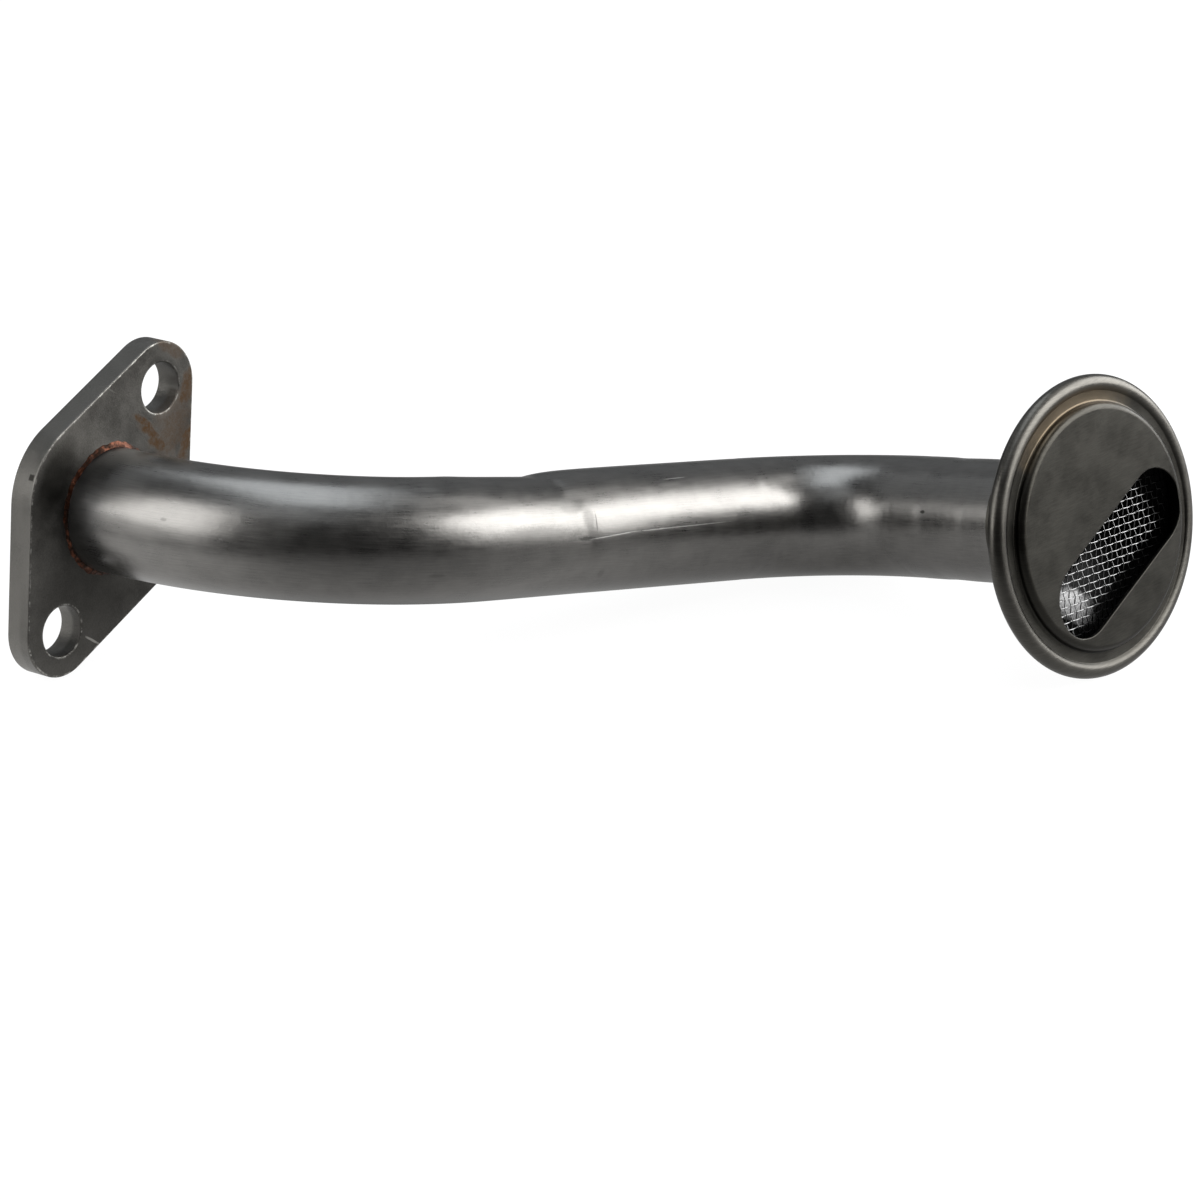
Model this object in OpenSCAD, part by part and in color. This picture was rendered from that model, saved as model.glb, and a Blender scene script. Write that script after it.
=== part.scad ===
// Oil pickup tube of an engine: a bent steel tube with a two-bolt flange brazed to one end
// and a round strainer with a slotted cover on the other.
// Lengths are in millimetres and angles in degrees.

/* [Tube] */
// Outside diameter of the tube
tube_od = 22; // [18:0.5:26]
// Wall thickness of the tube
tube_wall = 1.5; // [1:0.1:2.5]
// Length of the tube end that stands out behind the flange and enters the pump
spigot_l = 4; // [3:0.5:10]

/* [Bend table] */
// Thinning of the wall, on each side, where the tube is bent
bend_thin = 0.02; // [0.01:0.01:0.1]
// Straight run from the flange to the first bend
run_1 = 1; // [1:0.5:20]
// Side of the first bend, measured from the long axis of the flange
turn_1 = 117.5; // [0:0.5:359]
// Angle of the first bend
bend_1 = 73.5; // [30:0.5:100]
// Centre-line radius of the first bend
bend_r_1 = 53; // [30:0.5:80]
// Straight run from the first bend to the second
run_2 = 56; // [10:0.5:90]
// Turn of the tube in the bender before the second bend
turn_2 = 171; // [0:0.5:359]
// Angle of the second bend
bend_2 = 82; // [30:0.5:100]
// Centre-line radius of the second bend
bend_r_2 = 26; // [22:0.5:60]
// Straight run from the second bend to the end of the tube in the strainer
run_3 = 28; // [8:0.5:60]

/* [Flange] */
// Thickness of the flange plate
flange_t = 5; // [3:0.5:10]
// Distance between the two bolt holes
bolt_spacing = 46; // [42:0.5:70]
// Diameter of the bolt holes
bolt_hole_d = 9; // [6:0.1:11]
// Width of the broken edge round each bolt hole
bolt_hole_edge = 0.2; // [0.1:0.05:0.5]
// Radius of the flange's two ends, round the bolt holes
lobe_r = 8.25; // [7:0.25:12]
// Width of the flange across its middle
flange_w = 40; // [36:0.5:60]
// Radius of the two middle corners of the flange
corner_r = 15; // [8:0.5:18]

/* [Brazed joint] */
// Gap between the tube and its hole in the flange
braze_gap = 0.05; // [0.02:0.01:0.2]
// Leg of the braze fillet along the tube and along the flange
braze_leg = 1.3; // [0.8:0.1:1.8]
// Thickness of the fillet at its two tips
braze_tip = 0.2; // [0.1:0.05:0.4]

/* [Sealing ring] */
// Thickness of the ring's round section
ring_section = 2.4; // [1.5:0.1:3]
// Gap between the ring and the tube it sits on
ring_gap = 0.1; // [0.05:0.05:0.5]

/* [Strainer sheet] */
// Thickness of the pressed sheet of the cover and of the housing
sheet_t = 0.8; // [0.6:0.05:1]
// Diameter over the rolled rim
rim_d = 53; // [50:0.5:70]
// Radius of the rolled rim's round section
rim_roll_r = 1.65; // [1.5:0.05:2]
// Depth of the flat brim below the crest of the rolled rim
brim_drop = 0.5; // [0.2:0.05:0.8]
// Width of the lip that the rim turns in behind the housing
lip_w = 2.2; // [1.5:0.1:2.6]

/* [Strainer cap] */
// Diameter of the raised cap
cap_d = 43.4; // [38:0.1:44]
// Height of the cap above the brim
cap_h = 1.7; // [1.4:0.1:6]
// Radius of the cap's rounded edge
cap_edge_r = 1; // [0.9:0.05:1.3]

/* [Inlet slot] */
// Width of the slot in the cap
slot_w = 13.8; // [6:0.1:15]
// Length of the slot over its round ends
slot_l = 37.5; // [20:0.1:37.5]
// Distance of the slot's middle line from the strainer's axis
slot_offset = 6.3; // [0:0.1:6.4]
// Shift of the slot along its own length
slot_shift = -0.4; // [-0.5:0.1:0.5]
// Turn of the slot about the strainer's axis
slot_turn = 38.1; // [0:0.1:359]

/* [Screen] */
// Thickness of the wire screen
screen_t = 0.4; // [0.3:0.05:0.5]
// Spacing of the wires
wire_pitch = 3.8; // [3.8:0.1:6]
// Width of each wire
wire_w = 0.9; // [0.4:0.1:1.6]
// Turn of the wires about the strainer's axis
wire_turn = 8.7; // [0:0.1:89]
// Gap between the screen's edge and the inside of the rolled rim
screen_gap = 0.35; // [0.1:0.05:0.6]

/* [Housing] */
// Depth of the dish behind its flange
dish_depth = 13.1; // [11:0.1:16]
// Gap between the mouth of the dish and the lip that passes round it
lip_gap = 0.45; // [0.2:0.05:2]
// Gap between the tube and the collar round it
collar_gap = 0.05; // [0.02:0.01:0.2]
// Length of the collar behind the dish
collar_l = 3.2; // [1:0.1:8]
// Gap between the housing's edge and the inside of the rolled rim
housing_gap = 0.1; // [0.05:0.05:0.3]

/* [Lying on a table] */
// Turn about the flange's long axis
lie_x = -80.88; // [-180:0.01:180]
// Turn about the table's depth
lie_y = 48.95; // [-180:0.01:180]
// Turn about the vertical
lie_z = -121.51; // [-180:0.01:180]
// Place of the mounting face's centre along the table
place_x = -90.37; // [-200:0.01:200]
// Place of the mounting face's centre across the table
place_y = -6.33; // [-200:0.01:200]
// Height of the mounting face's centre above the table
place_z = 25.56; // [0:0.01:200]

/* [Hidden] */
$fn = 96;
// How far a cutting shape stands clear of what it cuts, and how far the runs lap over the bends
cut = 1;
lap = 0.2;

tube_r = tube_od / 2;
bore_r = tube_r - tube_wall;

// The flange's middle corners are circles set in from its edge
corner_y = flange_w / 2 - corner_r;
lobe_x = bolt_spacing / 2;
// Direction of the straight side that touches a lobe and a corner
side_angle = acos((corner_r - lobe_r) / norm([lobe_x, corner_y])) - atan2(corner_y, lobe_x);

// Levels of the strainer along its own axis, from the middle of the rolled rim
roll_x = rim_d / 2 - rim_roll_r;
roll_in_r = rim_roll_r - sheet_t;
brim_top = rim_roll_r - brim_drop;
brim_low = brim_top - sheet_t;
face_top = brim_top + cap_h;
cap_r = cap_d / 2;
cap_in_r = cap_r - sheet_t;
screen_low = brim_low - screen_t;
housing_low = screen_low - sheet_t;

// The dish is part of a ball; its outside passes through the mouth, which lies inside the rim's lip
dish_mouth_r = roll_x - lip_w - lip_gap;
dish_r = (dish_mouth_r * dish_mouth_r + dish_depth * dish_depth) / (2 * dish_depth);
dish_z = housing_low - dish_depth + dish_r;
collar_in_r = tube_r + collar_gap;
collar_out_r = collar_in_r + sheet_t;
function dish_level(ball_r, r) = dish_z - sqrt(ball_r * ball_r - r * r);
collar_root = (dish_level(dish_r, collar_out_r) + dish_level(dish_r - sheet_t, collar_in_r)) / 2;
collar_end = dish_level(dish_r, collar_out_r) - collar_l;
// The tube ends level with the inside of the dish
tube_end = dish_level(dish_r - sheet_t, collar_in_r);

// Places along the bent tube, in the order of the bend table
module past_bend(angle, radius) {
    translate([radius, 0, 0]) rotate([0, angle, 0]) translate([-radius, 0, 0]) children();
}
module at_bend_1() { translate([0, 0, flange_t + run_1]) rotate(turn_1) children(); }
module at_run_2() { at_bend_1() past_bend(bend_1, bend_r_1) children(); }
module at_bend_2() { at_run_2() translate([0, 0, run_2]) rotate(turn_2) children(); }
module at_run_3() { at_bend_2() past_bend(bend_2, bend_r_2) children(); }
module at_strainer() { at_run_3() translate([0, 0, run_3 - tube_end]) children(); }

// Lays the part down as it comes to rest
module lying() {
    translate([place_x, place_y, place_z]) rotate([lie_x, lie_y, lie_z]) children();
}

module tube_section(thin) {
    difference() {
        circle(tube_r - thin);
        circle(bore_r + thin);
    }
}

// A straight run, which laps over the bends before and after it
module tube_run(length, lap_before, lap_after) {
    translate([0, 0, -lap_before]) linear_extrude(lap_before + length + lap_after) tube_section(0);
}

module tube_bend(angle, radius) {
    translate([radius, 0, 0]) rotate([90, 0, 180])
        rotate_extrude(angle = angle) translate([radius, 0]) tube_section(bend_thin);
}

module pickup_tube() {
    color("#8d8f92") lying() {
        translate([0, 0, -spigot_l]) tube_run(spigot_l + flange_t + run_1, 0, lap);
        at_bend_1() tube_bend(bend_1, bend_r_1);
        at_run_2() tube_run(run_2, lap, lap);
        at_bend_2() tube_bend(bend_2, bend_r_2);
        at_run_3() tube_run(run_3, lap, 0);
    }
}

// Four circles joined by their common straight sides
module flange_outline() {
    side = [cos(side_angle), sin(side_angle)];
    lobe_touch = [lobe_x, 0] + lobe_r * side;
    corner_touch = [0, corner_y] + corner_r * side;
    upper = [
        lobe_touch, corner_touch,
        [-corner_touch[0], corner_touch[1]], [-lobe_touch[0], lobe_touch[1]]
    ];
    polygon(concat(upper, -upper));
    for (end = [-1, 1]) {
        translate([end * lobe_x, 0]) circle(lobe_r);
        translate([0, end * corner_y]) circle(corner_r);
    }
}

// A bolt hole and the two cones that break its edges
module bolt_hole() {
    hole_r = bolt_hole_d / 2;
    cone_h = bolt_hole_edge + 2 * cut;
    wide_r = hole_r + bolt_hole_edge + cut;
    narrow_r = hole_r - cut;
    translate([0, 0, -cut]) cylinder(r = hole_r, h = flange_t + 2 * cut);
    translate([0, 0, -cut]) cylinder(r1 = wide_r, r2 = narrow_r, h = cone_h);
    translate([0, 0, flange_t + cut - cone_h]) cylinder(r1 = narrow_r, r2 = wide_r, h = cone_h);
}

module mounting_flange() {
    color("#56585a") lying() difference() {
        linear_extrude(flange_t) flange_outline();
        translate([0, 0, -cut]) cylinder(r = tube_r + braze_gap, h = flange_t + 2 * cut);
        for (side = [-1, 1]) translate([side * lobe_x, 0, 0]) bolt_hole();
    }
}

module flange_braze() {
    color("#8a5a3c") lying() rotate_extrude() translate([tube_r, flange_t]) difference() {
        square(braze_leg);
        translate([braze_leg, braze_leg]) circle(braze_leg - braze_tip);
    }
}

module sealing_ring() {
    color("#151515") lying() rotate_extrude()
        translate([tube_r + ring_gap + ring_section / 2, -ring_section / 2]) circle(d = ring_section);
}

// Half section of a solid cap with a rounded edge, standing on the level line
module cap_half(radius, height, edge) {
    square([radius - edge, height]);
    square([radius, height - edge]);
    translate([radius - edge, height - edge]) circle(edge);
}

module cover_half() {
    difference() {
        union() {
            translate([0, brim_low]) cap_half(cap_r, face_top - brim_low, cap_edge_r);
            translate([0, brim_low]) square([roll_x, sheet_t]);
            translate([roll_x, 0]) circle(rim_roll_r);
            translate([roll_x - lip_w, -rim_roll_r]) square([lip_w, sheet_t]);
        }
        translate([0, brim_low - cut]) cap_half(cap_in_r, face_top - sheet_t - brim_low + cut, cap_edge_r - sheet_t);
        translate([roll_x, 0]) circle(roll_in_r);
        translate([0, -roll_in_r]) square([roll_x, roll_in_r + brim_low]);
        translate([0, -2 * rim_roll_r]) square([roll_x - lip_w, 2 * rim_roll_r]);
    }
}

module slot_outline() {
    reach = (slot_l - slot_w) / 2;
    translate([slot_shift, slot_offset]) {
        square([2 * reach, slot_w], center = true);
        for (end = [-1, 1]) translate([end * reach, 0]) circle(d = slot_w);
    }
}

module strainer_cover() {
    color("#46443e") lying() at_strainer() difference() {
        rotate_extrude() cover_half();
        rotate(slot_turn) translate([0, 0, face_top - sheet_t - cut / 2])
            linear_extrude(sheet_t + cut) slot_outline();
    }
}

// One layer of the screen: a solid edge ring with straight wires across it
module wire_layer() {
    mesh_r = cap_in_r;
    count = floor(mesh_r / wire_pitch);
    difference() {
        circle(roll_x - screen_gap);
        difference() {
            circle(mesh_r);
            for (i = [-count:count])
                translate([0, i * wire_pitch]) square([2 * rim_d, wire_w], center = true);
        }
    }
}

module strainer_screen() {
    color("#b4b6b8") lying() at_strainer() rotate(wire_turn) for (layer = [0, 1])
        translate([0, 0, screen_low + layer * screen_t / 2]) rotate(90 * layer)
            linear_extrude(screen_t / 2) wire_layer();
}

module housing_half() {
    edge_r = roll_x - housing_gap;
    translate([dish_mouth_r - sheet_t, housing_low]) square([edge_r - dish_mouth_r + sheet_t, sheet_t]);
    difference() {
        intersection() {
            translate([0, dish_z]) circle(dish_r);
            translate([collar_in_r, screen_low - 2 * dish_depth]) square([dish_mouth_r, 2 * dish_depth]);
        }
        translate([0, dish_z]) circle(dish_r - sheet_t);
    }
    translate([collar_in_r, collar_end]) square([sheet_t, collar_root - collar_end]);
}

module strainer_housing() {
    color("#4c4a45") lying() at_strainer() rotate_extrude() housing_half();
}

mounting_flange();
pickup_tube();
flange_braze();
sealing_ring();
strainer_housing();
strainer_screen();
strainer_cover();
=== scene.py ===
"""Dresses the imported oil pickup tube: drawn tube, blanked flange, braze, seal and crimped strainer."""
import math

import bmesh
import bpy
import numpy as np
from bpy.props import FloatProperty, FloatVectorProperty, IntProperty, PointerProperty
from mathutils import Euler, Matrix, Quaternion, Vector


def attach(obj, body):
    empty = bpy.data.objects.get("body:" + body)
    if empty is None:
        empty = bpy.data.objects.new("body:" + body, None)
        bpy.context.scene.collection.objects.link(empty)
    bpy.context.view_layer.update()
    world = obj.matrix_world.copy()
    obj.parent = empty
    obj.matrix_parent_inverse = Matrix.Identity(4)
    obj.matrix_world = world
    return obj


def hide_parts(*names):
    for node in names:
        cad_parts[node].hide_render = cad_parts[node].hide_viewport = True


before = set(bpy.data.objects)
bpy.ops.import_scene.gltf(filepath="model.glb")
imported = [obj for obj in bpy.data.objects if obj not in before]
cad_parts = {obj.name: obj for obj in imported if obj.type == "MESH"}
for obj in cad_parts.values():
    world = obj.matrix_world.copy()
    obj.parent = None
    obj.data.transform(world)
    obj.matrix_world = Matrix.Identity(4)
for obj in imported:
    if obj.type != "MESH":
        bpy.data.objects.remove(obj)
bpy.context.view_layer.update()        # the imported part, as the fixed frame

bl_info = {
    "name": "Oil pickup tube",
    "version": (1, 0, 0),
    "blender": (4, 5, 0),
    "location": "View3D > Sidebar > Pickup",
    "description": "Builds the looks of a bent oil pickup tube with a flange and a strainer",
    "category": "Object",
}

MM = 0.001
BODY = "root"
FULL_TURN = 2 * math.pi
QUARTER = math.pi / 2


# Kinds of settings

def length_value(name, description, default):
    return FloatProperty(name=name, description=description, default=default, unit="LENGTH")


def angle_value(name, description, degrees):
    return FloatProperty(name=name, description=description, default=math.radians(degrees), unit="ROTATION")


def vector_value(name, description, default, **kind):
    size = len(default)
    return FloatVectorProperty(name=name, description=description, default=default, size=size, **kind)


def angles_value(name, description, degrees, **kind):
    return vector_value(name, description, [math.radians(angle) for angle in degrees], **kind)


def colour_value(name, description, default):
    return vector_value(name, description, default, subtype="COLOR")


def light_value(name, source, default):
    return FloatProperty(name=name, description=f"Radiance of {source}", default=default)


class TubeSizes(bpy.types.PropertyGroup):
    """The bend table of the drawn tube, and the way the part lies"""
    outer_d: length_value("Outside diameter", "Outside diameter of the tube", 0.022)
    wall: length_value("Wall", "Wall of the tube", 0.0015)
    spigot: length_value("Spigot", "Length that stands proud of the mounting face", 0.004)
    runs: vector_value(
        "Runs", "Straight runs before, between and after the bends", (0.001, 0.056, 0.028), unit="LENGTH")
    turns: angles_value(
        "Turns", "Turn of the tube in the bender before each bend", (117.5, 171), unit="ROTATION")
    bends: angles_value("Bends", "Angle of each bend", (73.5, 82), unit="ROTATION")
    bend_radii: vector_value(
        "Bend radii", "Radius of each bend, at the tube's middle", (0.053, 0.026), unit="LENGTH")
    lie: angles_value(
        "Lie", "Turn that lays the part down as it rests", (-80.88, 48.95, -121.51), subtype="EULER")
    place: vector_value(
        "Place", "Place of the mounting face's centre", (-0.09037, -0.00633, 0.02556), subtype="TRANSLATION")
    ring_step: length_value("Ring step", "Distance between the skin's rings", 0.00046)
    sides: IntProperty(name="Sides", description="Points round each ring of the skin", default=160)


class KinkSizes(bpy.types.PropertyGroup):
    """The crease that the bender left, and the marks of its jaws"""
    depth: length_value("Depth", "Deepest point of the crease", 0.00088)
    along: length_value("Along", "Distance of the crease from the spigot's mouth", 0.0889)
    around: angle_value("Around", "Angle of the crease's deepest point", 205)
    spread: angle_value("Spread", "Angle over which the crease fades", 60)
    lean: length_value("Lean", "How far the crease runs along the tube per radian", 0.003)
    run_in: length_value("Run in", "Length of the slope before the crease", 0.017)
    run_out: length_value("Run out", "Length of the slope after the crease", 0.0033)
    pinch: vector_value(
        "Pinch", "Distance along and angle round of the crease's pinched end", (0.0932, math.radians(289)),
        subtype="XYZ")
    pinch_depth: length_value("Pinch depth", "Depth of the pinched end", 0.00016)
    jaw_depth: length_value("Jaw marks", "Depth of the rings that the jaws left", 0.00006)


class FlangeSizes(bpy.types.PropertyGroup):
    """The blanked flange, its braze and its seal"""
    thickness: length_value("Thickness", "Thickness of the plate", 0.005)
    bolt_spacing: length_value("Bolt spacing", "Distance between the bolt holes", 0.046)
    bolt_hole_d: length_value("Bolt hole", "Diameter of a bolt hole", 0.009)
    lobe_r: length_value("Lobe radius", "Radius round a bolt hole", 0.00822)
    width: length_value("Width", "Width across the middle", 0.03994)
    corner_r: length_value("Corner radius", "Radius of the middle corners", 0.01497)
    edge: length_value("Edge", "Rounding of the plate's edges", 0.0003)
    tube_gap: length_value("Tube gap", "Gap between plate and tube", 0.00005)
    braze_leg: length_value("Braze leg", "Widest leg of the braze", 0.0013)
    ring_section: length_value("Seal section", "Thickness of the sealing ring", 0.0024)
    ring_gap: length_value("Seal gap", "Gap between seal and tube", 0.0001)


class StrainerSizes(bpy.types.PropertyGroup):
    """The pressed cover, the housing's dish and the woven screen"""
    reach: length_value("Reach", "From the tube's end to the middle of the rim", 0.010524)
    rim_d: length_value("Rim", "Outside diameter of the rolled rim", 0.05292)
    roll_r: length_value("Roll", "Outside radius of the roll", 0.00165)
    sheet: length_value("Sheet", "Thickness of the sheet", 0.0008)
    brim_drop: length_value("Brim drop", "How far the brim lies below the roll", 0.0005)
    dish_r: length_value("Dish radius", "Radius of the ball that the housing's dish is cut from", 0.025361)
    dish_centre: length_value("Dish centre", "Height of that ball's middle above the rim", 0.011411)
    glint: vector_value(
        "Glint", "Place inside the dish that catches the light", (-0.0038, 0.0146), subtype="XYZ")
    lip: length_value("Lip", "Width of the lip under the rim", 0.0022)
    cap_d: length_value("Cap", "Diameter of the raised cap", 0.0434)
    cap_h: length_value("Cap height", "Height of the cap above the brim", 0.0017)
    cap_edge: length_value("Cap edge", "Rounding of the cap's edge", 0.0013)
    root_r: length_value("Root", "Rounding of the cap's foot", 0.0004)
    slot_w: length_value("Slot width", "Width of the inlet slot", 0.0138)
    slot_l: length_value("Slot length", "Length of the inlet slot", 0.0375)
    slot_place: vector_value(
        "Slot place", "Slot's middle from the cap's centre", (-0.0004, 0.0063), subtype="XYZ")
    slot_turn: angle_value("Slot turn", "Turn of the slot on the cap", 38.1)
    slot_edge: length_value("Slot edge", "Rounding of the slot's edge", 0.00018)
    screen_t: length_value("Screen", "Thickness of the clamped screen", 0.0004)
    screen_gap: length_value("Screen gap", "Gap between screen and roll", 0.00035)
    wire_pitch: length_value("Wire pitch", "Distance between wires", 0.00136)
    wire_d: length_value("Wire", "Diameter of a wire", 0.0002)
    wire_wave: length_value("Weave", "How far a wire swings from the middle of the cloth", 0.00014)
    wire_turn: angle_value("Wire turn", "Turn of the wires on the cap", 8.7)


class Finishes(bpy.types.PropertyGroup):
    """Colours of the part's finishes"""
    tube_light: colour_value("Tube light", "Bare drawn steel", (0.165, 0.16, 0.152))
    tube_dark: colour_value("Tube dark", "Dull drawn steel", (0.112, 0.109, 0.104))
    tube_heat: colour_value("Tube heat", "Drawn steel dulled by the braze's heat", (0.085, 0.085, 0.085))
    tube_mark_and_shade: colour_value("Tube mark", "Dark mark of the bender, and painted shade in the crease", (0.025, 0.024, 0.023))
    tube_scratch: colour_value("Tube scratch", "Bright scratch on the tube", (0.55, 0.54, 0.52))
    flange_light: colour_value("Flange light", "Rubbed blanked steel", (0.108, 0.104, 0.096))
    flange_dark: colour_value("Flange dark", "Blanked steel with its scale", (0.052, 0.05, 0.046))
    flange_bright: colour_value("Flange bright", "Bare edge with a painted highlight, and bright scratches", (0.22, 0.215, 0.2))
    # Painted shade on the flange's face and in its nick
    flange_painted_shade: colour_value("Flange shade", "Painted shade on the flange's face", (0.017, 0.016, 0.014))
    rust: colour_value("Rust", "Brown rust stain", (0.044, 0.0215, 0.0065))
    cover_light: colour_value("Cover light", "Rubbed pressed steel", (0.07, 0.067, 0.058))
    cover_dark: colour_value("Cover dark", "Oiled pressed steel", (0.04, 0.038, 0.033))
    heat_tint: colour_value("Heat tint", "Straw tint left by heat", (0.09, 0.07, 0.046))
    dish_painted_shade: colour_value("Dish shade", "Painted shade inside the housing", (0.006, 0.006, 0.006))
    dish_glint: colour_value("Dish glint", "Painted glint inside the housing", (0.2, 0.2, 0.2))
    copper: colour_value("Copper", "Copper braze", (0.05, 0.019, 0.011))
    copper_dark: colour_value("Copper dark", "Darkened braze", (0.012, 0.007, 0.005))
    wire: colour_value("Wire", "Screen wire", (0.4, 0.4, 0.4))
    wire_painted_shade: colour_value("Wire shade", "Painted shade on the wire", (0.004, 0.004, 0.004))
    rubber: colour_value("Rubber", "Sealing ring", (0.012, 0.012, 0.012))
    floor: colour_value("Floor", "What the floor gives back of the light", (0.05, 0.05, 0.05))
    floor_white: colour_value("Floor white", "Pale floor as the camera sees it", (0.96, 0.96, 0.96))


class StageSizes(bpy.types.PropertyGroup):
    """Camera and lights"""
    camera_place: vector_value(
        "Camera place", "Place of the camera", (-0.004939, -0.66922, 0.34374), subtype="TRANSLATION")
    camera_turn: angles_value("Camera turn", "Turn of the camera", (63.113, -0.572, -0.003), subtype="EULER")
    lens: FloatProperty(
        name="Lens", description="Focal length in millimetres on a 36 mm sensor", default=126.53)
    side_light: light_value("Side light", "the box at the strainer's side", 8.2)
    left_light: light_value("Left light", "the box at the flange's side", 5.6)
    flap_light: light_value("Flap light", "the side box's two flaps", 2.4)
    skirt_light: light_value("Left skirt", "the dim strip under the left box", 1.5)
    glow_light: light_value("Left glow", "the far box behind the left one", 3.2)
    wall_light: light_value("Wall light", "the wall behind on the left", 0.6)
    far_light: light_value("Far light", "the dim box far to the left", 1.5)
    top_light: light_value("Top light", "the box overhead", 3.7)
    front_light: light_value("Front light", "the dim box overhead in front", 1.0)
    back_light: light_value("Back light", "the wall behind", 0.3)
    room: light_value("Room", "the room", 0.04)


def settings(group):
    return getattr(bpy.context.scene, group)


# Places along the bent tube

def lifted(distance):
    return Matrix.Translation((0, 0, distance))


def past_bend(angle, radius):
    out = Matrix.Translation((radius, 0, 0))
    return out @ Matrix.Rotation(angle, 4, "Y") @ out.inverted()


def lying():
    """The frame of the mounting face, as the part lies."""
    tube = settings("pickup_tube")
    return Matrix.Translation(tube.place) @ Euler(tube.lie, "XYZ").to_matrix().to_4x4()


def tube_stations(step):
    """Rings along the tube: distance from the spigot's mouth, frame, and turn since the start."""
    tube = settings("pickup_tube")
    runs = list(tube.runs)
    runs[0] += tube.spigot + settings("pickup_flange").thickness
    bends = list(zip(tube.turns, tube.bends, tube.bend_radii))
    base = lying() @ lifted(-tube.spigot)
    along = 0.0
    turned = 0.0
    stations = []
    for index, run in enumerate(runs):
        count = max(2, math.ceil(run / step))
        stations += [(along + run * i / count, base @ lifted(run * i / count), turned) for i in range(count)]
        base = base @ lifted(run)
        along += run
        if index == len(bends):
            break
        turn, bend, radius = bends[index]
        turned += turn
        base = base @ Matrix.Rotation(turn, 4, "Z")
        length = bend * radius
        count = max(2, math.ceil(length / step))
        for i in range(count):
            stations.append((along + length * i / count, base @ past_bend(bend * i / count, radius), turned))
        base = base @ past_bend(bend, radius)
        along += length
    stations.append((along, base, turned))
    return stations


def strainer_frame():
    """The frame at the middle of the strainer's rim, looking out of the cover."""
    return tube_stations(1.0)[-1][1] @ lifted(settings("pickup_strainer").reach)


# Mesh helpers

def link_piece(name, mesh, node, material):
    """Puts a finished mesh in the scene in place of a node of the part."""
    piece = bpy.data.objects.new(name, mesh)
    bpy.context.scene.collection.objects.link(piece)
    mesh.materials.append(material)
    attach(piece, BODY)
    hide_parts(node)
    return piece


def smooth_faces(mesh, sharp_degrees):
    """Smooths all but the sharp edges."""
    mesh.polygons.foreach_set("use_smooth", [True] * len(mesh.polygons))
    mesh.set_sharp_from_angle(angle=math.radians(sharp_degrees))


def outward(mesh, sharp_degrees):
    """Turns all faces outward and smooths them."""
    work = bmesh.new()
    work.from_mesh(mesh)
    bmesh.ops.recalc_face_normals(work, faces=work.faces)
    work.to_mesh(mesh)
    work.free()
    smooth_faces(mesh, sharp_degrees)


def grid_mesh(name, points, uvs):
    """A skin of quads, closed both ways, through rings of points; uvs has one column more than a ring."""
    rings, sides = points.shape[:2]
    first, across = np.meshgrid(np.arange(rings), np.arange(sides), indexing="ij")
    second = (first + 1) % rings
    beside = (across + 1) % sides
    quads = np.stack([first * sides + across, first * sides + beside,
                      second * sides + beside, second * sides + across], -1).reshape(-1, 4)
    mesh = bpy.data.meshes.new(name)
    mesh.from_pydata(points.reshape(-1, 3).tolist(), [], quads.tolist())
    corners = np.stack([uvs[first, across], uvs[first, across + 1],
                        uvs[second, across + 1], uvs[second, across]], -2)
    layer = mesh.uv_layers.new(name="wrap")
    layer.data.foreach_set("uv", corners.reshape(-1).astype(np.float32))
    mesh.validate()
    return mesh


def wrap_uvs(columns, radius, levels):
    """Distance round the tube and a level for every ring of a skin."""
    return np.stack([np.stack([columns * radius, np.full_like(columns, level)], -1) for level in levels])


def ring_mesh(name, rows, columns, radius):
    """A ring round the tube at the mounting face, from rows of radius and height round its section."""
    around = columns[:-1]
    points = np.stack([np.stack([reach * np.cos(around), reach * np.sin(around),
                                 np.broadcast_to(height, around.shape)], -1) for reach, height in rows])
    mesh = grid_mesh(name, points, wrap_uvs(columns, radius, [i * MM for i in range(len(rows))]))
    mesh.transform(lying())
    outward(mesh, sharp_degrees=60)
    return mesh


def corner_ring(work, outline, level, inset=0.0):
    """A ring of corners; each keeps its distance from the edge."""
    layer = work.verts.layers.float.get("inset") or work.verts.layers.float.new("inset")
    ring = [work.verts.new((x, y, level)) for x, y in outline]
    for corner in ring:
        corner[layer] = inset
    return ring


def bridge_rings(work, rings):
    """Quads between each ring and the next."""
    for first, second in zip(rings, rings[1:]):
        count = len(first)
        for i in range(count):
            j = (i + 1) % count
            work.faces.new((first[i], first[j], second[j], second[i]))


def fill_between(work, rings):
    """A flat face inside the first ring, with the other rings as holes."""
    edges = []
    for ring in rings:
        for i, corner in enumerate(ring):
            pair = (ring[i - 1], corner)
            edges.append(work.edges.get(pair) or work.edges.new(pair))
    bmesh.ops.triangle_fill(work, use_beauty=True, edges=edges)


def rounded_levels(low, high, edge, steps=4):
    """(inset, level) from the lower edge to the upper one, with both edges rounded."""
    quarter = [i * QUARTER / steps for i in range(steps + 1)]
    below = [(edge * (1 - math.sin(a)), low + edge * (1 - math.cos(a))) for a in quarter]
    above = [(inset, low + high - level) for inset, level in reversed(below)]
    return below + above


def arc(centre, radius, start, end, steps):
    angles = [start + (end - start) * i / steps for i in range(steps + 1)]
    return [(centre[0] + radius * math.cos(a), centre[1] + radius * math.sin(a)) for a in angles]


def circle(centre, radius, steps):
    return arc(centre, radius, 0, FULL_TURN, steps)[:-1]


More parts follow.
